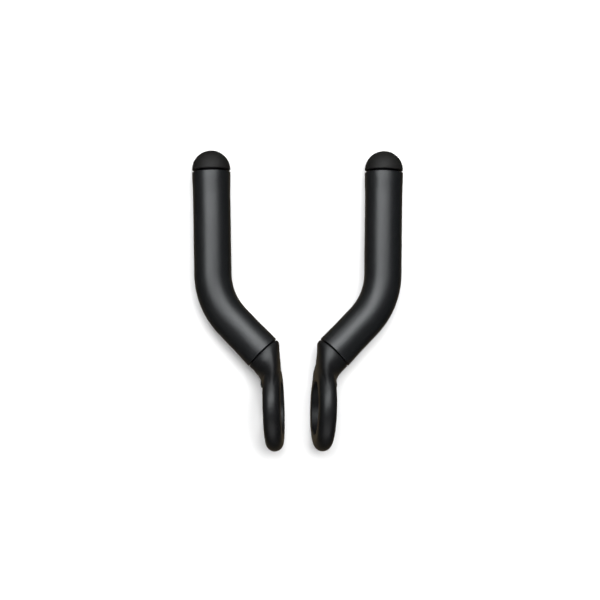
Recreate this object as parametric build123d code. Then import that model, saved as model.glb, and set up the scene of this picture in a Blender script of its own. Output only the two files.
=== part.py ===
"""A mirrored pair of bicycle bar ends, lying on a flat surface with the grips pointing along +Y.

Each one is built in its own frame first. Its origin is the centre of the clamp ring, +X points
outboard along the handlebar, +Y points forward along the grip and +Z points up. The right one is
then laid down on the surface, and the left one is its mirror image. All sizes are millimetres.
"""

from build123d import *
import math
import os

os.makedirs("parts", exist_ok=True)

# ---- clamp ring ----
BAR_DIAMETER = 31.8  # the handlebar's clamping zone
RING_WALL = 9.5  # radial, from the bore to the rounded rim
RING_WIDTH = 10.2  # along the handlebar
BORE_CHAMFER = 0.5

# ---- neck, from the ring to the shoulder that the tube butts on ----
NECK_REACH = 7.15  # shoulder centre ahead of the ring's rim
NECK_OUTBOARD = 5.4  # shoulder centre outboard of the ring's middle plane
COLLAR_RADIUS = 11.05
COLLAR_LENGTH = 2.0
COLLAR_EDGE = 0.3
SPIGOT_LENGTH = 22.0
SPIGOT_CHAMFER = 1.0

# ---- tube and grip ----
BEND_ANGLE = 42.9  # between the tube's two straight lengths
BEND_RADIUS = 41.4
GRIP_TURN = 0.55  # degrees, the grip turned inboard from the ring's middle plane
GRIP_OUTBOARD = 33.3  # tube's mouth outboard of the ring's middle plane
GRIP_FORWARD = 142.2  # tube's mouth ahead of the ring's centre
TUBE_RADIUS = 9.0
TUBE_WALL = 1.5
SLEEVE_RADIUS = 11.08  # thinnest, in the bend and along the hand's place
SLEEVE_LIP_RADIUS = 11.4  # at the cap
SLEEVE_HEEL_RADIUS = 11.35  # near the neck
SLEEVE_EDGE = 0.4
FLARE_LENGTH = 14.0
HEEL_GAP = 0.6  # open line between the sleeve and the neck
LIP_GAP = 1.2  # open line between the sleeve and the cap

# ---- end cap ----
DOME_RADIUS = 11.37
DOME_HEIGHT = 11.8
DOME_EDGE = 0.5
PLUG_LENGTH = 18.0
PLUG_WALL = 2.0
PLUG_BARBS = 4
BARB_DEPTH = 0.8
BARB_LAND = 0.33  # cylindrical part of each barb, as a share of the barbs' spacing

# ---- clamp bolt: M5 socket screw, small washer ----
SLIT_ANGLE = 24.0  # below forward, seen along the handlebar
SLIT_WIDTH = 1.5
BOLT_THREAD_DIAMETER = 5.0
BOLT_LENGTH = 20.0
BOLT_HEAD_RADIUS = 4.25
BOLT_HEAD_HEIGHT = 5.0
HEX_ACROSS_FLATS = 4.0
HEX_DEPTH = 2.6
BOLT_HEAD_EDGE = 0.5
WASHER_RADIUS = 4.5
WASHER_THICKNESS = 1.0
BOLT_OUTBOARD = 1.4  # bolt axis outboard of the ring's middle plane
BORE_TO_BOLT_WALL = 2.85
JAW_THICKNESS = 7.5  # from the slit's middle to the washer's seat
JAW_SIDE_WALL = 0.6
JAW_EDGE = 0.6
SEAT_WALL = 1.4
THREAD_HOLE_SPARE = 1.5  # past the bolt's tip

# ---- spring pin through tube and spigot ----
PIN_RADIUS = 2.0
PIN_WALL = 0.4
PIN_SLOT = 0.6
PIN_FROM_SHOULDER = 11.0
PIN_SHORT_OF_TUBE = 0.3  # at each end

# ---- clearances ----
SLIDE_CLEARANCE = 0.05  # radial, plug in tube and spigot in tube
SLEEVE_CLEARANCE = 0.03  # radial, sleeve over tube
BOLT_CLEARANCE = 0.3  # radial, bolt in the lower jaw
THREAD_CLEARANCE = 0.05  # radial, bolt in its thread
WASHER_CLEARANCE = 0.3  # radial, washer in its seat
WASHER_HOLE_CLEARANCE = 0.15  # radial, bolt in the washer
PIN_CLEARANCE = 0.03

# ---- how the pair lies ----
RING_HALF_SPACING = 14.6  # ring centre from the pair's middle plane
TOE_OUT = 1.5  # degrees, the rings' middle planes apart at the front
LEAN = 5.0  # degrees, tops of the rings outboard
NOSE_DOWN_STEPS = 30  # rounds of the sum that finds the nose-down angle

# ---- sizes that follow from those above ----
BORE_RADIUS = BAR_DIAMETER / 2
RING_RADIUS = BORE_RADIUS + RING_WALL
HALF_WIDTH = RING_WIDTH / 2
RIM_CENTRE_RADIUS = RING_RADIUS - HALF_WIDTH
TUBE_BORE_RADIUS = TUBE_RADIUS - TUBE_WALL
BEND = math.radians(BEND_ANGLE)
SHOULDER = Vector(NECK_OUTBOARD, RING_RADIUS + NECK_REACH, 0)
MOUTH = Vector(GRIP_OUTBOARD, GRIP_FORWARD, 0)
ALONG_GRIP = Vector(0, 1, 0).rotate(Axis.Z, GRIP_TURN)
ALONG_DIAGONAL = ALONG_GRIP.rotate(Axis.Z, -BEND_ANGLE)
ACROSS_GRIP = ALONG_GRIP.rotate(Axis.Z, -90)
CORNER = SHOULDER + ALONG_DIAGONAL * ((MOUTH - SHOULDER).dot(ACROSS_GRIP) / math.sin(BEND))
BEND_TANGENT = BEND_RADIUS * math.tan(BEND / 2)
BEND_START = CORNER - ALONG_DIAGONAL * BEND_TANGENT
BEND_END = CORNER + ALONG_GRIP * BEND_TANGENT
BEND_CENTRE = BEND_END - ACROSS_GRIP * BEND_RADIUS
STRAIGHT_LENGTH = (MOUTH - BEND_END).length
SLIT = math.radians(SLIT_ANGLE)
BOLT_RADIUS = BOLT_THREAD_DIAMETER / 2
BOLT_HOLE_RADIUS = BOLT_RADIUS + BOLT_CLEARANCE
BOLT_FROM_BORE_AXIS = BORE_RADIUS + BORE_TO_BOLT_WALL + BOLT_HOLE_RADIUS
SEAT_RADIUS = WASHER_RADIUS + WASHER_CLEARANCE
ALONG_SLIT = Vector(0, math.cos(SLIT), -math.sin(SLIT))
ALONG_BOLT = Vector(0, math.sin(SLIT), math.cos(SLIT))
BOLT_AT_SLIT = Vector(BOLT_OUTBOARD, 0, 0) + ALONG_SLIT * BOLT_FROM_BORE_AXIS
SEAT_CENTRE = BOLT_AT_SLIT - ALONG_BOLT * JAW_THICKNESS
HEAD_CENTRE = SEAT_CENTRE - ALONG_BOLT * WASHER_THICKNESS
CUTTER_SPAN = 2 * RING_RADIUS  # what cuts the bore, the slit and the seat is this long

# Stations of the neck between the collar (0) and the ring (1), as fractions: inboard edge forward
# and sideways, outboard edge forward and sideways, rise; the last is the exponent of the
# superellipse, where 2 is an ellipse.
NECK_STATIONS = [
    (0.096, 0.27, 0.18, 0.36, 0.05, 2.0),
    (0.31, 0.46, 0.40, 0.68, 0.23, 2.1),
    (0.56, 0.66, 0.62, 0.84, 0.57, 2.2),
    (0.80, 0.87, 0.80, 0.93, 0.84, 2.6),
    (1.0, 1.0, 1.0, 1.0, 1.0, 3.2),
]
NECK_ROOT_INBOARD, NECK_ROOT_OUTBOARD = 0.36, 0.28  # forward, as shares of the ring's radius
NECK_INSET = 0.1  # root section inside the ring's skin
SECTION_POINTS = 28
NECK_SPARE = 1.0  # how far the chamfer's cutter stands clear of the neck


def turned(profile, origin, direction):
    """A solid of revolution: a face in the XZ plane turned about Z, then stood at origin."""
    return Plane(origin=origin, z_dir=direction) * revolve(profile, axis=Axis.Z)


def rod(radius, start, end):
    """A round bar from one point to another."""
    span = end - start
    bar = Cylinder(radius, span.length, align=(Align.CENTER, Align.CENTER, Align.MIN))
    return Plane(origin=start, z_dir=span.normalized()) * bar


def blunted(bar, end, size):
    """The bar with the edge round one of its ends chamfered."""
    return chamfer(bar.edges().filter_by(GeomType.CIRCLE).sort_by_distance(end)[0], size)


def elbow(radius):
    """The round bar through the bend."""
    disc = Plane(origin=BEND_END, z_dir=ALONG_GRIP) * Circle(radius)
    axis = Axis(BEND_CENTRE, (0, 0, -1))
    return revolve(disc, axis=axis, revolution_arc=BEND_ANGLE)


def bent_bar(radius):
    """A round bar along the whole tube, from the shoulder to the tube's mouth."""
    return rod(radius, SHOULDER, BEND_START) + elbow(radius) + rod(radius, BEND_END, MOUTH)


def neck_section(inboard, outboard, half_height, exponent):
    """A superellipse that stands upright on the line between two points of the plan."""
    centre = (inboard + outboard) / 2
    across = outboard - inboard
    half_width = across.length / 2
    unit = across.normalized()
    plane = Plane(origin=centre, x_dir=unit, z_dir=(unit.Y, -unit.X, 0))
    points = []
    for k in range(SECTION_POINTS):
        angle = 2 * math.pi * k / SECTION_POINTS
        c, s = math.cos(angle), math.sin(angle)
        points.append(
            (
                half_width * math.copysign(abs(c) ** (2 / exponent), c),
                half_height * math.copysign(abs(s) ** (2 / exponent), s),
            )
        )
    return plane * make_face(Spline(*points, periodic=True))


def neck():
    """The forged neck: round up to the shoulder, tall and as thin as the ring where it meets it."""
    side = ALONG_DIAGONAL.rotate(Axis.Z, 90) * COLLAR_RADIUS
    foot = SHOULDER - ALONG_DIAGONAL * COLLAR_LENGTH
    inboard, outboard = foot + side, foot - side
    root_in = Vector(NECK_INSET - HALF_WIDTH, NECK_ROOT_INBOARD * RING_RADIUS, 0)
    root_out = Vector(HALF_WIDTH - NECK_INSET, NECK_ROOT_OUTBOARD * RING_RADIUS, 0)
    root_forward = (root_in.Y + root_out.Y) / 2
    root_height = math.sqrt(RING_RADIUS**2 - root_forward**2) - NECK_INSET
    sections = [
        neck_section(SHOULDER + side, SHOULDER - side, COLLAR_RADIUS, 2),
        neck_section(inboard, outboard, COLLAR_RADIUS, 2),
    ]
    for in_y, in_x, out_y, out_x, rise, exponent in NECK_STATIONS:
        near = Vector(
            inboard.X + (root_in.X - inboard.X) * in_x,
            inboard.Y + (root_in.Y - inboard.Y) * in_y,
            0,
        )
        far = Vector(
            outboard.X + (root_out.X - outboard.X) * out_x,
            outboard.Y + (root_out.Y - outboard.Y) * out_y,
            0,
        )
        height = COLLAR_RADIUS + (root_height - COLLAR_RADIUS) * rise
        sections.append(neck_section(near, far, height, exponent))
    return loft(sections)


def ring():
    """The clamp ring: flat faces, a fully rounded rim, the bore not yet cut."""
    face = Rectangle(RING_WIDTH, RIM_CENTRE_RADIUS, align=(Align.CENTER, Align.MIN))
    face += Pos(0, RIM_CENTRE_RADIUS) * Circle(HALF_WIDTH)
    half = Rectangle(RING_WIDTH, 2 * RING_RADIUS, align=(Align.CENTER, Align.MIN))
    return revolve(face & half, axis=Axis.X)


def lower_jaw():
    """The ear under the slit that carries the washer's seat, with its edges rounded."""
    wide = SEAT_RADIUS + JAW_SIDE_WALL
    radius = SEAT_RADIUS + SEAT_WALL
    centre = BOLT_AT_SLIT - ALONG_BOLT * (JAW_THICKNESS - SLIT_WIDTH / 2)
    side = Plane(origin=(BOLT_OUTBOARD, 0, 0), x_dir=(0, 1, 0), z_dir=(1, 0, 0))
    at = (centre.Y, centre.Z)
    top = centre + ALONG_BOLT * JAW_THICKNESS
    outline = make_hull(
        [
            *(Pos(*at) * Circle(radius)).edges(),
            *(Pos(top.Y, top.Z) * Circle(radius)).edges(),
            *Circle(BORE_RADIUS).edges(),
        ]
    )
    ear = extrude(side * outline, amount=wide, both=True)
    return fillet(ear.edges().filter_by(Axis.X, reverse=True), JAW_EDGE)


def shoulder_edge():
    """What the chamfer round the shoulder takes off."""
    out = COLLAR_RADIUS + NECK_SPARE
    with BuildSketch(Plane.XZ) as profile:
        with BuildLine():
            Polyline(
                (COLLAR_RADIUS - COLLAR_EDGE, 0), (out, 0), (out, -NECK_SPARE - COLLAR_EDGE),
                close=True,
            )
        make_face()
    return turned(profile.sketch, SHOULDER, ALONG_DIAGONAL)


def spigot():
    """The round end of the neck that goes into the tube."""
    tip = SHOULDER + ALONG_DIAGONAL * SPIGOT_LENGTH
    bar = rod(TUBE_BORE_RADIUS - SLIDE_CLEARANCE, SHOULDER - ALONG_DIAGONAL * COLLAR_LENGTH, tip)
    return blunted(bar, tip, SPIGOT_CHAMFER)


def pin_hole(radius):
    """The cross hole for the spring pin, upright through the tube."""
    centre = SHOULDER + ALONG_DIAGONAL * PIN_FROM_SHOULDER
    up = Vector(0, 0, 2 * TUBE_RADIUS)
    return rod(radius, centre - up, centre + up)


def clamp():
    """The forged split clamp with its neck and spigot."""
    body = ring() + (neck() - shoulder_edge()) + spigot() + lower_jaw()
    bore = Plane.YZ * Cylinder(BORE_RADIUS, CUTTER_SPAN)
    for side in (-1, 1):
        mouth = Cone(
            BORE_RADIUS, BORE_RADIUS + BORE_CHAMFER, BORE_CHAMFER,
            align=(Align.CENTER, Align.CENTER, Align.MIN),
        )
        face = Plane(origin=(side * (HALF_WIDTH - BORE_CHAMFER), 0, 0), z_dir=(side, 0, 0))
        body -= face * mouth
    body -= bore
    slit_middle = Plane(
        origin=ALONG_SLIT * (BORE_RADIUS / 2), x_dir=ALONG_SLIT, z_dir=(1, 0, 0)
    )
    body -= slit_middle * Box(
        CUTTER_SPAN, SLIT_WIDTH, CUTTER_SPAN, align=(Align.MIN, Align.CENTER, Align.CENTER)
    )
    tip = HEAD_CENTRE + ALONG_BOLT * BOLT_LENGTH
    body -= rod(BOLT_HOLE_RADIUS, SEAT_CENTRE - ALONG_BOLT, BOLT_AT_SLIT)
    body -= rod(BOLT_RADIUS + THREAD_CLEARANCE, BOLT_AT_SLIT, tip + ALONG_BOLT * THREAD_HOLE_SPARE)
    body -= rod(SEAT_RADIUS, SEAT_CENTRE - ALONG_BOLT * CUTTER_SPAN, SEAT_CENTRE)
    return body - pin_hole(PIN_RADIUS + PIN_CLEARANCE)


def core_tube():
    """The bent aluminium tube inside the sleeve."""
    tube = bent_bar(TUBE_RADIUS) - bent_bar(TUBE_BORE_RADIUS)
    return tube - pin_hole(PIN_RADIUS + PIN_CLEARANCE)


def rounding(radius, end, size):
    """A quarter circle, in a profile, from the outside of a round piece over to its flat end.

    A positive size rounds the upper end and a negative one the lower.
    """
    middle = Vector(radius - abs(size), end - size)
    halfway = Vector(abs(size), size) * math.sqrt(0.5)
    return ThreePointArc(middle + Vector(abs(size), 0), middle + halfway, middle + Vector(0, size))


def sleeve_length(start_radius, end_radius, length, origin, direction):
    """A straight length of the sleeve that flares towards its free end, which is rounded over."""
    bore = TUBE_RADIUS + SLEEVE_CLEARANCE
    with BuildSketch(Plane.XZ) as profile:
        with BuildLine():
            wall = Line((start_radius, 0), (start_radius, length - FLARE_LENGTH))
            lip = Spline(
                wall @ 1, (end_radius, length - SLEEVE_EDGE), tangents=[(0, 1), (0, 1)]
            )
            edge = rounding(end_radius, length, SLEEVE_EDGE)
            Polyline(edge @ 1, (bore, length), (bore, 0), wall @ 0)
        make_face()
    return turned(profile.sketch, origin, direction)


def grip_sleeve():
    """The moulded sleeve over the tube, open at both ends by the shadow gap."""
    diagonal = (BEND_START - SHOULDER).length - HEEL_GAP
    sleeve = sleeve_length(
        SLEEVE_RADIUS, SLEEVE_HEEL_RADIUS, diagonal, BEND_START, ALONG_DIAGONAL * -1
    )
    sleeve += elbow(SLEEVE_RADIUS) - elbow(TUBE_RADIUS + SLEEVE_CLEARANCE)
    return sleeve + sleeve_length(
        SLEEVE_RADIUS, SLEEVE_LIP_RADIUS, STRAIGHT_LENGTH - LIP_GAP, BEND_END, ALONG_GRIP
    )


def end_cap():
    """The domed plug: a solid head and a hollow barbed shank that fills the tube's mouth."""
    sphere_centre = DOME_HEIGHT - DOME_RADIUS
    foot = math.sqrt(DOME_RADIUS**2 - (DOME_EDGE - sphere_centre) ** 2)
    halfway = DOME_RADIUS * math.sqrt(0.5)
    barb = TUBE_BORE_RADIUS - SLIDE_CLEARANCE
    pitch = PLUG_LENGTH / (PLUG_BARBS + 0.5)
    core = barb - BARB_DEPTH
    shank = [(core, 0)]
    for k in range(PLUG_BARBS):
        top = -pitch * (k + 0.5)
        shank += [(core, top), (barb, top), (barb, top - pitch * BARB_LAND)]
    shank += [(core, -PLUG_LENGTH)]
    hollow = core - PLUG_WALL
    with BuildSketch(Plane.XZ) as profile:
        with BuildLine():
            dome = ThreePointArc(
                (0, DOME_HEIGHT), (halfway, sphere_centre + halfway), (foot, DOME_EDGE)
            )
            edge = rounding(foot, 0, -DOME_EDGE)
            inside = [(hollow, -PLUG_LENGTH), (hollow, 0), (0, 0), (0, DOME_HEIGHT)]
            Polyline(edge @ 1, *shank, *inside)
        make_face()
    return turned(profile.sketch, MOUTH, ALONG_GRIP)


def clamp_bolt():
    """The socket screw: head below the jaw, thread up into the neck, hexagon in the head."""
    tip = HEAD_CENTRE + ALONG_BOLT * BOLT_LENGTH
    head_end = HEAD_CENTRE - ALONG_BOLT * BOLT_HEAD_HEIGHT
    head = blunted(rod(BOLT_HEAD_RADIUS, head_end, HEAD_CENTRE), head_end, BOLT_HEAD_EDGE)
    shaft = blunted(rod(BOLT_RADIUS, HEAD_CENTRE, tip), tip, BOLT_HEAD_EDGE)
    socket = extrude(RegularPolygon(HEX_ACROSS_FLATS / 2, 6, major_radius=False), HEX_DEPTH)
    return head + shaft - Plane(origin=head_end, z_dir=ALONG_BOLT) * socket


def bolt_washer():
    """The washer between the bolt's head and its seat."""
    hole = BOLT_RADIUS + WASHER_HOLE_CLEARANCE
    return rod(WASHER_RADIUS, HEAD_CENTRE, SEAT_CENTRE) - rod(hole, HEAD_CENTRE, SEAT_CENTRE)


def lock_pin():
    """The slotted spring pin that keeps the tube on the spigot."""
    half = TUBE_RADIUS - PIN_SHORT_OF_TUBE
    pin = Cylinder(PIN_RADIUS, 2 * half) - Cylinder(PIN_RADIUS - PIN_WALL, 2 * half)
    pin -= Box(2 * PIN_RADIUS, PIN_SLOT, 2 * half, align=(Align.MIN, Align.CENTER, Align.CENTER))
    centre = SHOULDER + ALONG_DIAGONAL * PIN_FROM_SHOULDER
    return Plane(origin=centre, x_dir=ALONG_DIAGONAL, z_dir=(0, 0, 1)) * pin


def nose_down():
    """The angle at which the ring's rim and the dome both touch the surface, in degrees."""
    lean = math.radians(LEAN)
    dome_forward = GRIP_FORWARD + DOME_HEIGHT - DOME_RADIUS
    pitch = 0.0
    for _ in range(NOSE_DOWN_STEPS):
        rim = RIM_CENTRE_RADIUS * math.sqrt(1 - (math.sin(lean) * math.cos(pitch)) ** 2)
        drop = GRIP_OUTBOARD * math.sin(lean) * math.cos(pitch)
        pitch = math.asin((drop + DOME_RADIUS - rim - HALF_WIDTH) / dome_forward)
    return math.degrees(pitch)


def resting_place(pieces):
    """Where the right-hand frame goes, with the pair's bounding box centred over the origin."""
    turn = Rot(0, 0, -TOE_OUT) * Rot(nose_down(), 0, 0) * Rot(0, LEAN, 0)
    boxes = [(turn * piece).bounding_box() for piece in pieces]
    rear = min(box.min.Y for box in boxes)
    front = max(box.max.Y for box in boxes)
    lowest = min(box.min.Z for box in boxes)
    return Pos(RING_HALF_SPACING, -(rear + front) / 2, -lowest) * turn


def main():
    pieces = {
        "clamp": clamp(),
        "clamp_bolt": clamp_bolt(),
        "bolt_washer": bolt_washer(),
        "lock_pin": lock_pin(),
        "core_tube": core_tube(),
        "grip_sleeve": grip_sleeve(),
        "end_cap": end_cap(),
    }
    place = resting_place(pieces.values())
    for name, piece in pieces.items():
        right = place * piece
        export_step(right, f"parts/right_{name}.step")
        export_step(mirror(right, about=Plane.YZ), f"parts/left_{name}.step")


main()
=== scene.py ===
"""Finishes and stage for a mirrored pair of bicycle bar ends.

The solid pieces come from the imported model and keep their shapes. Each kind of piece gets its own
procedural finish here, and a white studio sweep, soft lights and a camera are put round the pair.
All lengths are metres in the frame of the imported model.
"""

import math

import bpy
import numpy as np
from bpy.props import FloatProperty, FloatVectorProperty, PointerProperty
from mathutils import Matrix, Vector

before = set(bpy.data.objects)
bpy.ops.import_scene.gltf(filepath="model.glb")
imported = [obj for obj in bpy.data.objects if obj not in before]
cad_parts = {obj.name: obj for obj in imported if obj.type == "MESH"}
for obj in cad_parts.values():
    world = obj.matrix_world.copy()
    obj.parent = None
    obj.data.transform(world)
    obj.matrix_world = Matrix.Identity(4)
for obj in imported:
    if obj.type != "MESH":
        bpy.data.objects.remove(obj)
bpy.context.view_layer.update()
SIDES = ("left", "right")

# The softer swell under the specks of the fine grain, as shares of theirs.
SWELL_SCALE = 0.22
SWELL_HEIGHT = 0.6

# Handling marks.
CLOUD_STRENGTH = 0.10
METAL_CLOUD_STRENGTH = 0.25
METAL_PATCH = 0.004
CLOUD_MEAN = 0.5
RUB_TURN = (0.3, 0.2, 0.5)  # radians, so that the rubs lie along no axis
RUB_STRETCH = (1.0, 0.06, 1.0)
RUBS_IN_A_PATCH = 12.0
RUB_THRESHOLD = 0.62  # only the noise above this is a rub

# A finish's darkest and lightest, as shares of its own colour.
BLACK_SPREAD = (0.7, 1.35)
METAL_SPREAD = (0.75, 1.15)

# Machining marks on the metal pieces. A low scale on one axis draws them out along it.
MARKS_PER_METRE = 2200.0
MARK_DEPTH = 0.000004
MARK_ROUGHNESS = 0.12
NOT_DRAWN_OUT = (1.0, 1.0, 1.0)
ALONG_THE_TUBE = (1.0, 0.05, 1.0)
ALONG_THE_PIN = (1.0, 1.0, 0.05)

# The metal pieces: node, what its settings are called, material, how its marks are drawn out.
HARDWARE = (
    ("clamp_bolt", "bolt", "bolt_oxide", NOT_DRAWN_OUT),
    ("bolt_washer", "washer", "washer_zinc", NOT_DRAWN_OUT),
    ("lock_pin", "pin", "pin_steel", ALONG_THE_PIN),
    ("core_tube", "tube", "tube_alloy", ALONG_THE_TUBE),
)

# The sweep and its paper.
SWEEP_COVE = 0.6
SWEEP_COLUMNS = 96
FLAT_RINGS = 23
COVE_RINGS = 17
INNERMOST_RING = 0.02
PAPER_DARK, PAPER_LIGHT = (0.86, 0.86, 0.86), (0.90, 0.90, 0.90)
MOTTLES_PER_METRE = 40.0

# The lights: distance from the aim, degrees right and forward of straight up, size, tint.
KEY_LIGHT = (1.3, -7, 27, (2.0, 0.8), (0.95, 0.98, 1.0))
FILL_LIGHT = (1.6, 2, 13, (1.1, 0.8), (1.0, 1.0, 1.0))
FRONT_LIGHT = (1.2, -4, 62, (1.6, 0.7), (0.97, 0.99, 1.0))
REAR_LIGHT = (1.2, -4, -58, (1.6, 0.9), (1.0, 1.0, 1.0))
GLOW_STARTS, GLOW_IS_FULL = -0.45, -0.95  # upward part of a ray's direction

bl_info = {
    "name": "Bar End Pair",
    "version": (1, 0, 0),
    "blender": (4, 5, 0),
    "location": "View3D > Sidebar > Bar ends",
    "description": "Finishes a pair of bicycle bar ends and sets up a white studio for them",
    "category": "Object",
}


# ---- settings ----


def colour(name, description, default):
    """A colour setting, red, green and blue from 0 to 1."""
    return FloatVectorProperty(
        name=name, description=description, default=default, subtype="COLOR", size=3, min=0, max=1
    )


def share(name, description, default):
    """A setting from 0 to 1."""
    return FloatProperty(
        name=name, description=description, default=default, min=0, max=1, subtype="FACTOR"
    )


def length(name, description, default):
    """A length in metres."""
    return FloatProperty(
        name=name,
        description=description,
        default=default,
        min=0,
        subtype="DISTANCE",
        unit="LENGTH",
    )


def angle(name, description, degrees):
    """An angle, given in degrees."""
    return FloatProperty(
        name=name,
        description=description,
        default=math.radians(degrees),
        subtype="ANGLE",
        unit="ROTATION",
    )


def power(name, default):
    """The radiant power of a light, in watts."""
    return FloatProperty(name=name, description="Radiant power", default=default, unit="POWER")


class SleeveSettings(bpy.types.PropertyGroup):
    """The moulded grip sleeves."""

    colour: colour("Colour", "Satin black of the moulded sleeve", (0.0048, 0.0053, 0.0060))
    roughness: share("Roughness", "Mean roughness of the satin surface", 0.40)
    specular: share("Specular", "Strength of the reflections", 1.0)
    grain_size: length("Grain size", "Distance between the specks of the fine grain", 0.0007)
    grain_depth: length("Grain depth", "Height of the fine grain", 0.000040)
    patch_size: length("Patch size", "Size of the cloudy patches in the sheen", 0.012)


class ClampSettings(bpy.types.PropertyGroup):
    """The forged clamps."""

    colour: colour("Colour", "Black of the anodised forging", (0.0046, 0.0048, 0.0052))
    roughness: share("Roughness", "Mean roughness of the blasted and anodised surface", 0.42)
    specular: share("Specular", "Strength of the reflections", 0.7)
    grain_size: length("Blast size", "Distance between the pits of the bead blast", 0.00035)
    grain_depth: length("Blast depth", "Depth of the bead blast", 0.000008)
    patch_size: length("Patch size", "Size of the cloudy patches in the sheen", 0.009)


class CapSettings(bpy.types.PropertyGroup):
    """The domed end caps."""

    colour: colour("Colour", "Matte black of the rubber", (0.0060, 0.0057, 0.0052))
    roughness: share("Roughness", "Mean roughness of the rubber", 0.60)
    specular: share("Specular", "Strength of the reflections", 0.4)
    grain_size: length("Grain size", "Distance between the specks of the moulded grain", 0.0005)
    grain_depth: length("Grain depth", "Height of the moulded grain", 0.000014)
    patch_size: length("Patch size", "Size of the cloudy patches in the sheen", 0.006)


class HardwareSettings(bpy.types.PropertyGroup):
    """Bolts, washers, pins and tubes."""

    bolt_colour: colour("Bolt", "Black oxide on the bolt", (0.035, 0.034, 0.036))
    bolt_roughness: share("Bolt roughness", "Least roughness of the bolt", 0.36)
    washer_colour: colour("Washer", "Zinc on the washer", (0.60, 0.61, 0.63))
    washer_roughness: share("Washer roughness", "Least roughness of the washer", 0.28)
    pin_colour: colour("Pin", "Bare spring steel of the pin", (0.42, 0.41, 0.40))
    pin_roughness: share("Pin roughness", "Least roughness of the pin", 0.30)
    tube_colour: colour("Tube", "Black anodising on the tube", (0.016, 0.016, 0.017))
    tube_roughness: share("Tube roughness", "Least roughness of the tube", 0.5)


class StageSettings(bpy.types.PropertyGroup):
    """The sweep, the lights and the camera."""

    view_width: length("View width", "Width that the camera sees at the aim", 0.3552)
    camera_distance: length("Camera distance", "From the aim to the camera", 1.0)
    camera_left: angle("Camera to the left", "Angle of the camera left of straight down", 2.1)
    aim_right: length("Aim to the right", "From the pair's middle to the aim", 0.0011)
    aim_height: length("Aim height", "Height of the aim over the floor", 0.018)
    sweep_radius: length("Sweep radius", "From the middle to the wall of the sweep", 3.0)
    sweep_height: length("Sweep height", "Height of the wall of the sweep", 2.5)
    key_power: power("Key light", 17.0)
    fill_power: power("Fill light", 44.0)
    front_power: power("Front light", 3.5)
    rear_power: power("Rear light", 2.5)
    surround: share("Surround", "Brightness of what lies beyond the stage", 0.005)
    glow: share("Glow", "Brightness of the floor as the undersides' reflections see it", 0.2)
    glow_colour: colour("Glow colour", "Tint of that glow", (1.0, 0.80, 0.52))


# ---- shader building ----


def group_sockets(group, takes, gives):
    """Names the inputs and outputs of a node group and returns its two end nodes."""
    kinds = {"vector": "NodeSocketVector", "value": "NodeSocketFloat"}
    for name, kind in takes:
        group.interface.new_socket(name=name, in_out="INPUT", socket_type=kinds[kind])
    for name, kind in gives:
        group.interface.new_socket(name=name, in_out="OUTPUT", socket_type=kinds[kind])
    return group.nodes.new("NodeGroupInput"), group.nodes.new("NodeGroupOutput")


def maths(tree, operation, first, second):
    """A Math node; each operand is a number or a socket."""
    node = tree.nodes.new("ShaderNodeMath")
    node.operation = operation
    for socket, value in zip(node.inputs, (first, second)):
        if isinstance(value, (int, float)):
            socket.default_value = value
        else:
            tree.links.new(value, socket)
    return node.outputs[0]


def noise(tree, vector, scale, detail=2.0, roughness=0.5):
    """A Noise Texture's value; the scale is a number or a socket."""
    node = tree.nodes.new("ShaderNodeTexNoise")
    node.inputs["Detail"].default_value = detail
    node.inputs["Roughness"].default_value = roughness
    tree.links.new(vector, node.inputs["Vector"])
    if isinstance(scale, (int, float)):
        node.inputs["Scale"].default_value = scale
    else:
        tree.links.new(scale, node.inputs["Scale"])
    return node.outputs["Fac"]


def fine_grain():
    """The group for a fine grain: specks of one size with a softer swell under them."""
    group = bpy.data.node_groups.get("fine_grain")
    if group:
        return group
    group = bpy.data.node_groups.new("fine_grain", "ShaderNodeTree")
    start, end = group_sockets(
        group,
        [("Place", "vector"), ("Grain Size", "value"), ("Depth", "value")],
        [("Height", "value"), ("Speck", "value")],
    )
    per_metre = maths(group, "DIVIDE", 1.0, start.outputs["Grain Size"])
    speck = noise(group, start.outputs["Place"], per_metre, detail=1.0)
    swell = noise(group, start.outputs["Place"], maths(group, "MULTIPLY", per_metre, SWELL_SCALE))
    mixed = maths(group, "ADD", speck, maths(group, "MULTIPLY", swell, SWELL_HEIGHT))
    height = maths(group, "MULTIPLY", mixed, start.outputs["Depth"])
    group.links.new(height, end.inputs["Height"])
    group.links.new(speck, end.inputs["Speck"])
    return group


def handling():
    """The group for handling: cloudy patches, and short faint rubs that all lie much one way."""
    group = bpy.data.node_groups.get("handling")
    if group:
        return group
    group = bpy.data.node_groups.new("handling", "ShaderNodeTree")
    start, end = group_sockets(
        group,
        [("Place", "vector"), ("Patch Size", "value"), ("Strength", "value")],
        [("Cloud", "value"), ("Rub", "value")],
    )
    per_metre = maths(group, "DIVIDE", 1.0, start.outputs["Patch Size"])
    cloud = noise(group, start.outputs["Place"], per_metre, detail=3.0, roughness=0.6)
    centred = maths(group, "SUBTRACT", cloud, CLOUD_MEAN)
    patches = maths(group, "MULTIPLY", centred, start.outputs["Strength"])
    group.links.new(patches, end.inputs["Cloud"])
    stretch = group.nodes.new("ShaderNodeMapping")
    stretch.inputs["Rotation"].default_value = RUB_TURN
    stretch.inputs["Scale"].default_value = RUB_STRETCH
    group.links.new(start.outputs["Place"], stretch.inputs["Vector"])
    rubs_per_metre = maths(group, "MULTIPLY", per_metre, RUBS_IN_A_PATCH)
    rub = noise(group, stretch.outputs["Vector"], rubs_per_metre)
    sharp = maths(group, "MAXIMUM", maths(group, "SUBTRACT", rub, RUB_THRESHOLD), 0.0)
    group.links.new(maths(group, "MULTIPLY", sharp, start.outputs["Strength"]), end.inputs["Rub"])
    return group


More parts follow.
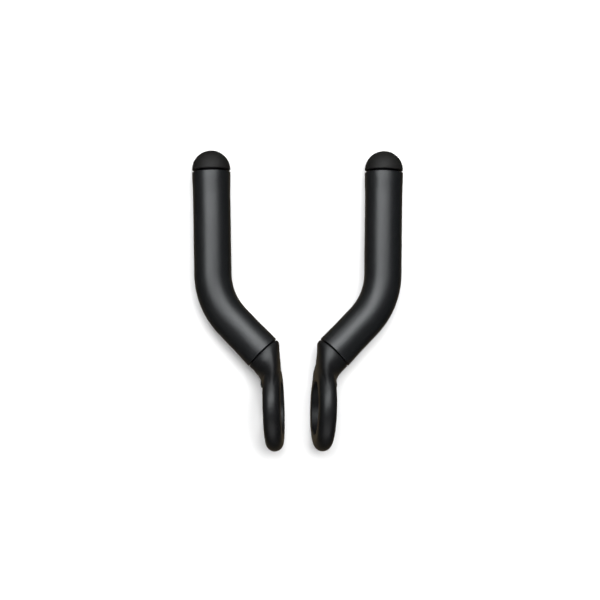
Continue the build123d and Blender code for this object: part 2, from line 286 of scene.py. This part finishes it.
def place_group(tree, group, **values):
    """Puts a node group into a material, with numbers or sockets for its inputs."""
    node = tree.nodes.new("ShaderNodeGroup")
    node.node_tree = group
    for name, value in values.items():
        socket = node.inputs[name.replace("_", " ")]
        if isinstance(value, (int, float)):
            socket.default_value = value
        else:
            tree.links.new(value, socket)
    return node


def blend_colours(tree, factor, dark, light):
    """A Mix node between two colours."""
    node = tree.nodes.new("ShaderNodeMix")
    node.data_type = "RGBA"
    node.inputs["A"].default_value = (*dark, 1.0)
    node.inputs["B"].default_value = (*light, 1.0)
    tree.links.new(factor, node.inputs["Factor"])
    return node.outputs["Result"]


def scaled(rgb, factor):
    """A colour made lighter or darker."""
    return tuple(min(1.0, channel * factor) for channel in rgb)


def start_material(name):
    """A new material with its Principled BSDF and its object coordinates."""
    material = bpy.data.materials.new(name)
    material.use_nodes = True
    tree = material.node_tree
    shader = tree.nodes["Principled BSDF"]
    place = tree.nodes.new("ShaderNodeTexCoord").outputs["Object"]
    return material, tree, shader, place


def bump(tree, shader, height):
    """Feeds a height in metres to the shader's normal."""
    node = tree.nodes.new("ShaderNodeBump")
    node.inputs["Strength"].default_value = 1.0
    node.inputs["Distance"].default_value = 1.0
    tree.links.new(height, node.inputs["Height"])
    tree.links.new(node.outputs["Normal"], shader.inputs["Normal"])


def grained(name, settings):
    """A satin or matte black with fine grain, cloudy roughness and faint rubs."""
    material, tree, shader, place = start_material(name)
    grain = place_group(
        tree, fine_grain(), Place=place, Grain_Size=settings.grain_size, Depth=settings.grain_depth
    )
    marks = place_group(
        tree, handling(), Place=place, Patch_Size=settings.patch_size, Strength=CLOUD_STRENGTH
    )
    tone = maths(tree, "ADD", grain.outputs["Speck"], marks.outputs["Cloud"])
    darkest, lightest = (scaled(settings.colour, factor) for factor in BLACK_SPREAD)
    base = blend_colours(tree, tone, darkest, lightest)
    rough = maths(tree, "ADD", marks.outputs["Cloud"], settings.roughness)
    rough = maths(tree, "SUBTRACT", rough, marks.outputs["Rub"])
    tree.links.new(base, shader.inputs["Base Color"])
    tree.links.new(rough, shader.inputs["Roughness"])
    shader.inputs["Specular IOR Level"].default_value = settings.specular
    bump(tree, shader, grain.outputs["Height"])
    return material


def machined(name, tint, roughness, draw_out):
    """Bare or oxidised metal, with the fine marks of its machining and faint clouds of handling."""
    material, tree, shader, place = start_material(name)
    stretch = tree.nodes.new("ShaderNodeMapping")
    stretch.inputs["Scale"].default_value = draw_out
    tree.links.new(place, stretch.inputs["Vector"])
    lines = noise(tree, stretch.outputs["Vector"], MARKS_PER_METRE)
    marks = place_group(
        tree, handling(), Place=place, Patch_Size=METAL_PATCH, Strength=METAL_CLOUD_STRENGTH
    )
    tone = maths(tree, "ADD", lines, marks.outputs["Cloud"])
    darkest, lightest = (scaled(tint, factor) for factor in METAL_SPREAD)
    base = blend_colours(tree, tone, darkest, lightest)
    rough = maths(tree, "ADD", maths(tree, "MULTIPLY", lines, MARK_ROUGHNESS), roughness)
    tree.links.new(base, shader.inputs["Base Color"])
    tree.links.new(maths(tree, "ADD", rough, marks.outputs["Cloud"]), shader.inputs["Roughness"])
    shader.inputs["Metallic"].default_value = 1.0
    bump(tree, shader, maths(tree, "MULTIPLY", lines, MARK_DEPTH))
    return material


def finish_nodes(kind, material):
    """Gives one kind of piece its material on both sides."""
    for side in SIDES:
        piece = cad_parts[f"{side}_{kind}"]
        piece.data.materials.clear()
        piece.data.materials.append(material)


# ---- operators ----


class FinishSleeves(bpy.types.Operator):
    """Gives the grip sleeves their satin moulded finish"""

    bl_idname = "bar_ends.finish_sleeves"
    bl_label = "Finish grip sleeves"

    def execute(self, context):
        finish_nodes("grip_sleeve", grained("sleeve_black", context.scene.bar_end_sleeves))
        return {"FINISHED"}


class FinishClamps(bpy.types.Operator):
    """Gives the clamps their blasted and anodised finish"""

    bl_idname = "bar_ends.finish_clamps"
    bl_label = "Finish clamps"

    def execute(self, context):
        finish_nodes("clamp", grained("clamp_black", context.scene.bar_end_clamps))
        return {"FINISHED"}


class FinishCaps(bpy.types.Operator):
    """Gives the end caps their matte rubber"""

    bl_idname = "bar_ends.finish_caps"
    bl_label = "Finish end caps"

    def execute(self, context):
        finish_nodes("end_cap", grained("cap_rubber", context.scene.bar_end_caps))
        return {"FINISHED"}


class FinishHardware(bpy.types.Operator):
    """Gives the bolts, washers, pins and tubes their metals"""

    bl_idname = "bar_ends.finish_hardware"
    bl_label = "Finish hardware"

    def execute(self, context):
        settings = context.scene.bar_end_hardware
        for kind, piece, name, draw_out in HARDWARE:
            tint = getattr(settings, f"{piece}_colour")
            roughness = getattr(settings, f"{piece}_roughness")
            finish_nodes(kind, machined(name, tint, roughness, draw_out))
        return {"FINISHED"}


def sweep_mesh(radius, height):
    """A round studio sweep: a floor, a cove and a wall.

    Its profile is flat out to the cove, at (r, 0), then turns up through a quarter circle of radius
    c, at (f + c sin t, c - c cos t) where f is the flat's radius, then rises straight to the height
    at (f + c, z). Turning the profile by an angle a gives (r cos a, r sin a, z).
    """
    flat = radius - SWEEP_COVE
    turn = np.linspace(0, math.pi / 2, COVE_RINGS)
    floor = np.geomspace(INNERMOST_RING, flat, FLAT_RINGS + 1)[:-1]
    reach = np.concatenate([floor, flat + SWEEP_COVE * np.sin(turn), [radius]])
    rise = np.concatenate([np.zeros(FLAT_RINGS), SWEEP_COVE - SWEEP_COVE * np.cos(turn), [height]])
    around = np.linspace(0, 2 * math.pi, SWEEP_COLUMNS + 1)[:-1]
    ring = np.stack([np.cos(around), np.sin(around)], axis=1)
    xy = reach[:, None, None] * ring[None, :, :]
    z = np.broadcast_to(rise[:, None, None], xy.shape[:2] + (1,))
    points = np.concatenate([xy, z], axis=2).reshape(-1, 3)
    rows, columns = len(reach), len(around)
    low = np.arange(rows - 1)[:, None] * columns
    here = np.arange(columns)[None, :]
    beside = (here + 1) % columns
    above = low + columns
    quads = np.stack([low + here, above + here, above + beside, low + beside], axis=2)
    faces = quads.reshape(-1, 4).tolist() + [list(range(columns))]
    mesh = bpy.data.meshes.new("studio_sweep")
    mesh.from_pydata(points.tolist(), [], faces)
    mesh.shade_smooth()
    return mesh


def paper():
    """White paper with a hardly visible mottle."""
    material, tree, shader, place = start_material("white_paper")
    mottle = noise(tree, place, MOTTLES_PER_METRE, detail=3.0)
    base = blend_colours(tree, mottle, PAPER_DARK, PAPER_LIGHT)
    tree.links.new(base, shader.inputs["Base Color"])
    shader.inputs["Roughness"].default_value = 0.9
    shader.inputs["Specular IOR Level"].default_value = 0.0
    return material


def area_light(name, design, aim, power):
    """A rectangular soft light that faces the aim, laid out as the designs at the top say."""
    distance, right, forward, size, tint = design
    place = from_above(aim, distance, math.radians(right), math.radians(forward))
    light = bpy.data.lights.new(name, "AREA")
    light.shape = "RECTANGLE"
    light.size, light.size_y = size
    light.energy = power
    light.color = tint
    lamp = bpy.data.objects.new(name, light)
    lamp.location = place
    lamp.rotation_euler = (aim - place).to_track_quat("-Z", "Y").to_euler()
    bpy.context.scene.collection.objects.link(lamp)
    return lamp


def surround(settings):
    """A dim world that glows from below, where only reflections can see it through the sweep."""
    world = bpy.data.worlds.new("surround")
    world.use_nodes = True
    tree = world.node_tree
    direction = tree.nodes.new("ShaderNodeSeparateXYZ")
    tree.links.new(tree.nodes.new("ShaderNodeTexCoord").outputs["Generated"], direction.inputs[0])
    below = tree.nodes.new("ShaderNodeMapRange")
    below.interpolation_type = "SMOOTHSTEP"
    below.inputs["From Min"].default_value = GLOW_STARTS
    below.inputs["From Max"].default_value = GLOW_IS_FULL
    tree.links.new(direction.outputs["Z"], below.inputs["Value"])
    dim = (settings.surround,) * 3
    glow = scaled(settings.glow_colour, settings.glow)
    tint = blend_colours(tree, below.outputs["Result"], dim, glow)
    tree.links.new(tint, tree.nodes["Background"].inputs["Color"])
    return world


def from_above(aim, distance, right, forward):
    """The point at a distance from the aim, leaning right and forward from straight up."""
    return aim + Vector((math.tan(right), math.tan(forward), 1.0)).normalized() * distance


def camera_turn(place, aim):
    """The rotation of a camera at a place that faces the aim with +Y up in its picture."""
    back = (place - aim).normalized()
    right = Vector((0, 1, 0)).cross(back).normalized()
    return Matrix((right, back.cross(right), back)).transposed().to_euler()


class BuildStage(bpy.types.Operator):
    """Builds the white sweep, the soft lights and the camera"""

    bl_idname = "bar_ends.build_stage"
    bl_label = "Build stage"

    def execute(self, context):
        settings = context.scene.bar_end_stage
        mesh = sweep_mesh(settings.sweep_radius, settings.sweep_height)
        sweep = bpy.data.objects.new("studio_sweep", mesh)
        sweep.data.materials.append(paper())
        sweep.visible_glossy = False
        context.scene.collection.objects.link(sweep)

        aim = Vector((settings.aim_right, 0, settings.aim_height))
        key = area_light("key_light", KEY_LIGHT, aim, settings.key_power)
        key.visible_diffuse = False
        fill = area_light("fill_light", FILL_LIGHT, aim, settings.fill_power)
        fill.visible_glossy = False
        area_light("front_light", FRONT_LIGHT, aim, settings.front_power)
        rear = area_light("rear_light", REAR_LIGHT, aim, settings.rear_power)
        rear.visible_diffuse = False
        context.scene.world = surround(settings)

        camera_data = bpy.data.cameras.new("camera")
        camera_data.lens = camera_data.sensor_width * settings.camera_distance / settings.view_width
        camera = bpy.data.objects.new("camera", camera_data)
        camera.location = from_above(aim, settings.camera_distance, -settings.camera_left, 0.0)
        camera.rotation_euler = camera_turn(camera.location, aim)
        context.scene.collection.objects.link(camera)
        context.scene.camera = camera
        context.scene.view_settings.view_transform = "Standard"
        return {"FINISHED"}


class BarEndsPanel(bpy.types.Panel):
    """Lists the steps that finish the pair"""

    bl_idname = "VIEW3D_PT_bar_ends"
    bl_label = "Bar ends"
    bl_space_type = "VIEW_3D"
    bl_region_type = "UI"
    bl_category = "Bar ends"

    def draw(self, context):
        for operator in OPERATORS:
            self.layout.operator(operator.bl_idname)
        for name in SETTINGS:
            box = self.layout.box()
            group = getattr(context.scene, name)
            for setting in group.bl_rna.properties:
                if setting.identifier not in ("name", "rna_type"):
                    box.prop(group, setting.identifier)


SETTINGS = {
    "bar_end_sleeves": SleeveSettings,
    "bar_end_clamps": ClampSettings,
    "bar_end_caps": CapSettings,
    "bar_end_hardware": HardwareSettings,
    "bar_end_stage": StageSettings,
}
OPERATORS = (FinishSleeves, FinishClamps, FinishCaps, FinishHardware, BuildStage)


def register():
    for settings in SETTINGS.values():
        bpy.utils.register_class(settings)
    for name, settings in SETTINGS.items():
        setattr(bpy.types.Scene, name, PointerProperty(type=settings))
    for operator in OPERATORS:
        bpy.utils.register_class(operator)
    bpy.utils.register_class(BarEndsPanel)


def unregister():
    bpy.utils.unregister_class(BarEndsPanel)
    for operator in reversed(OPERATORS):
        bpy.utils.unregister_class(operator)
    for name in SETTINGS:
        delattr(bpy.types.Scene, name)
    for settings in reversed(SETTINGS.values()):
        bpy.utils.unregister_class(settings)


def main():
    """Runs every step in order."""
    register()
    bpy.ops.bar_ends.finish_sleeves()
    bpy.ops.bar_ends.finish_clamps()
    bpy.ops.bar_ends.finish_caps()
    bpy.ops.bar_ends.finish_hardware()
    bpy.ops.bar_ends.build_stage()


if __name__ == "__main__":
    main()
